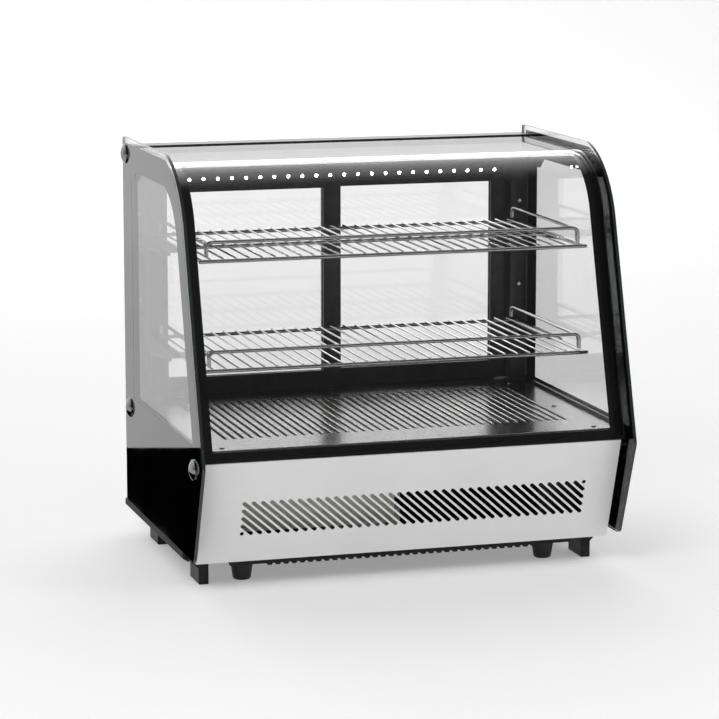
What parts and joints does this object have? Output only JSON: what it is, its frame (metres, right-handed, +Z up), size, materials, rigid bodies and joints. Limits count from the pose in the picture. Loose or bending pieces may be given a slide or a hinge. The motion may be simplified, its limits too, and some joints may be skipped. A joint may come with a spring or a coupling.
{
  "type": "bakery display case",
  "caption": "Countertop refrigerated display case with curved front glass, glass cheeks, wire shelves, slotted deck and sliding rear doors.",
  "frame": {"origin": "on the floor under the middle of the footprint", "axes": "+Z up; the customer's side with the curved glass faces -Y; +X is to that customer's right"},
  "size_m": [0.716, 0.544, 0.663],
  "materials": {
    "clear_glass": "clear tempered, black printed border",
    "door_glass": "clear",
    "light_panel": "satin light grey",
    "stainless": "polished",
    "chrome_wire": "bright",
    "chrome_cap": "bright",
    "dark_frame": "dark anodised satin",
    "black_steel": "black satin",
    "black_plastic": "moulded black",
    "gloss_black": "black gloss",
    "rubber": "black",
    "aluminium": "mill finish",
    "lamp": "dark board with light-emitting chips",
    "copper": "drawn copper",
    "foam": "foam with a plastic liner",
    "grey_plastic": "moulded",
    "display": "dark tinted"
  },
  "bodies": {
    "case": {"side_glass_left": "clear_glass", "side_glass_right": "clear_glass", "front_glass": "clear_glass", "side_cap_screws": "chrome_cap", "front_glass_seal": "rubber", "side_glass_seals": "rubber", "rear_header": "dark_frame", "rear_sill": "dark_frame", "rear_post_left": "dark_frame", "rear_post_right": "dark_frame", "post_screws": "chrome_cap", "top_rear_trim": "black_steel", "lamp_channel": "dark_frame", "lamp_board": "lamp", "shelf_brackets": "stainless", "deck_panel": "stainless", "deck_screws": "chrome_cap", "front_panel": "light_panel", "base_pan": "black_steel", "skid_rail_left": "black_plastic", "skid_rail_right": "black_plastic", "rubber_foot_front_left": "rubber", "rubber_foot_front_right": "rubber", "rubber_foot_rear_left": "rubber", "rubber_foot_rear_right": "rubber", "insulated_tub": "foam", "drain_hose": "grey_plastic", "condensate_tray": "grey_plastic", "evaporator_coil": "aluminium", "condenser_coil": "black_steel", "evaporator_fan_motor": "black_steel", "condenser_fan_motor": "black_steel", "fan_shrouds": "black_steel", "compressor": "black_steel", "refrigerant_pipes": "copper", "filter_drier": "copper", "service_panel": "black_steel", "service_panel_screws": "chrome_cap", "thermostat_body": "gloss_black", "display_window": "display", "switch_frames": "black_plastic", "cable_gland": "black_plastic", "lamp_driver": "grey_plastic"},
    "left_door": {"left_door_frame": "dark_frame", "left_door_glass": "door_glass", "left_door_pull": "gloss_black"},
    "right_door": {"right_door_frame": "dark_frame", "right_door_glass": "door_glass", "right_door_pull": "gloss_black"},
    "upper_shelf": {"upper_shelf_grid": "chrome_wire", "upper_shelf_guard": "chrome_wire"},
    "lower_shelf": {"lower_shelf_grid": "chrome_wire", "lower_shelf_guard": "chrome_wire"},
    "evaporator_fan": {"evaporator_fan_blade": "grey_plastic"},
    "condenser_fan": {"condenser_fan_blade": "grey_plastic"},
    "power_switch": {"power_rocker": "gloss_black"},
    "light_switch": {"light_rocker": "gloss_black"},
    "set_key": {"set_button": "grey_plastic"},
    "down_key": {"down_button": "grey_plastic"},
    "up_key": {"up_button": "grey_plastic"}
  },
  "joints": [
    {"name": "left_door_slide", "type": "slide", "parent": "case", "child": "left_door", "axis": [1, 0, 0], "range_m": [0, 0.298]},
    {"name": "right_door_slide", "type": "slide", "parent": "case", "child": "right_door", "axis": [-1, 0, 0], "range_m": [0, 0.298]},
    {"name": "upper_shelf_lift", "type": "slide", "parent": "case", "child": "upper_shelf", "axis": [0, 0, 1], "range_m": [0, 0.012]},
    {"name": "lower_shelf_lift", "type": "slide", "parent": "case", "child": "lower_shelf", "axis": [0, 0, 1], "range_m": [0, 0.012]},
    {"name": "evaporator_fan_spin", "type": "hinge", "parent": "case", "child": "evaporator_fan", "pos_m": [-0.17, -0.021, 0.142], "axis": [0, 1, 0], "continuous": true},
    {"name": "condenser_fan_spin", "type": "hinge", "parent": "case", "child": "condenser_fan", "pos_m": [0.122, -0.087, 0.105], "axis": [0, 1, 0], "continuous": true},
    {"name": "power_switch_rock", "type": "hinge", "parent": "case", "child": "power_switch", "pos_m": [-0.118, 0.254, 0.142], "axis": [1, 0, 0], "range_deg": [0, 18]},
    {"name": "light_switch_rock", "type": "hinge", "parent": "case", "child": "light_switch", "pos_m": [-0.16, 0.254, 0.142], "axis": [1, 0, 0], "range_deg": [0, 18]},
    {"name": "set_key_press", "type": "slide", "parent": "case", "child": "set_key", "axis": [0, -1, 0], "range_m": [0, 0.001], "stiffness_N_per_m": 300},
    {"name": "down_key_press", "type": "slide", "parent": "case", "child": "down_key", "axis": [0, -1, 0], "range_m": [0, 0.001], "stiffness_N_per_m": 300},
    {"name": "up_key_press", "type": "slide", "parent": "case", "child": "up_key", "axis": [0, -1, 0], "range_m": [0, 0.001], "stiffness_N_per_m": 300}
  ]
}
